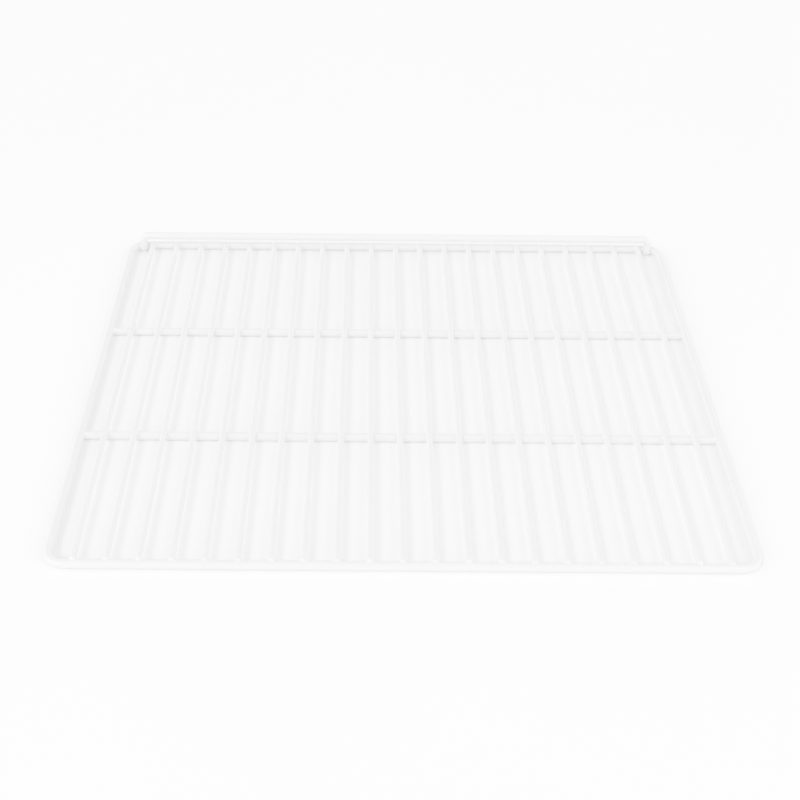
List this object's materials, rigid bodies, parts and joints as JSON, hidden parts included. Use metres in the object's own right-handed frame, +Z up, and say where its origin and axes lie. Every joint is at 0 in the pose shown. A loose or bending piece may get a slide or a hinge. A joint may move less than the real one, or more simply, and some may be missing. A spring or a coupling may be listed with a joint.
{
  "type": "wire shelf",
  "caption": "Flat white coated wire shelf: a round-cornered perimeter rod, cross rods under a deck of parallel wires, and a low stop rail along the rear edge.",
  "frame": {"origin": "centre of the shelf's footprint, at its lowest point, the underside of the two cross rods", "axes": "+X to the right along the width, +Y to the rear where the stop rail stands, +Z up, out of the deck"},
  "size_m": [0.53, 0.43, 0.023],
  "materials": {
    "white_coated_steel": "smooth glossy white plastic coating over steel rod, slightly thicker at the welds"
  },
  "bodies": {
    "root": {"perimeter_rod": "white_coated_steel", "front_cross_rod": "white_coated_steel", "rear_cross_rod": "white_coated_steel", "wire_01": "white_coated_steel", "wire_02": "white_coated_steel", "wire_03": "white_coated_steel", "wire_04": "white_coated_steel", "wire_05": "white_coated_steel", "wire_06": "white_coated_steel", "wire_07": "white_coated_steel", "wire_08": "white_coated_steel", "wire_09": "white_coated_steel", "wire_10": "white_coated_steel", "wire_11": "white_coated_steel", "wire_12": "white_coated_steel", "wire_13": "white_coated_steel", "wire_14": "white_coated_steel", "wire_15": "white_coated_steel", "wire_16": "white_coated_steel", "wire_17": "white_coated_steel", "wire_18": "white_coated_steel", "wire_19": "white_coated_steel", "wire_20": "white_coated_steel", "wire_21": "white_coated_steel", "rear_stop_rail": "white_coated_steel"}
  },
  "joints": []
}
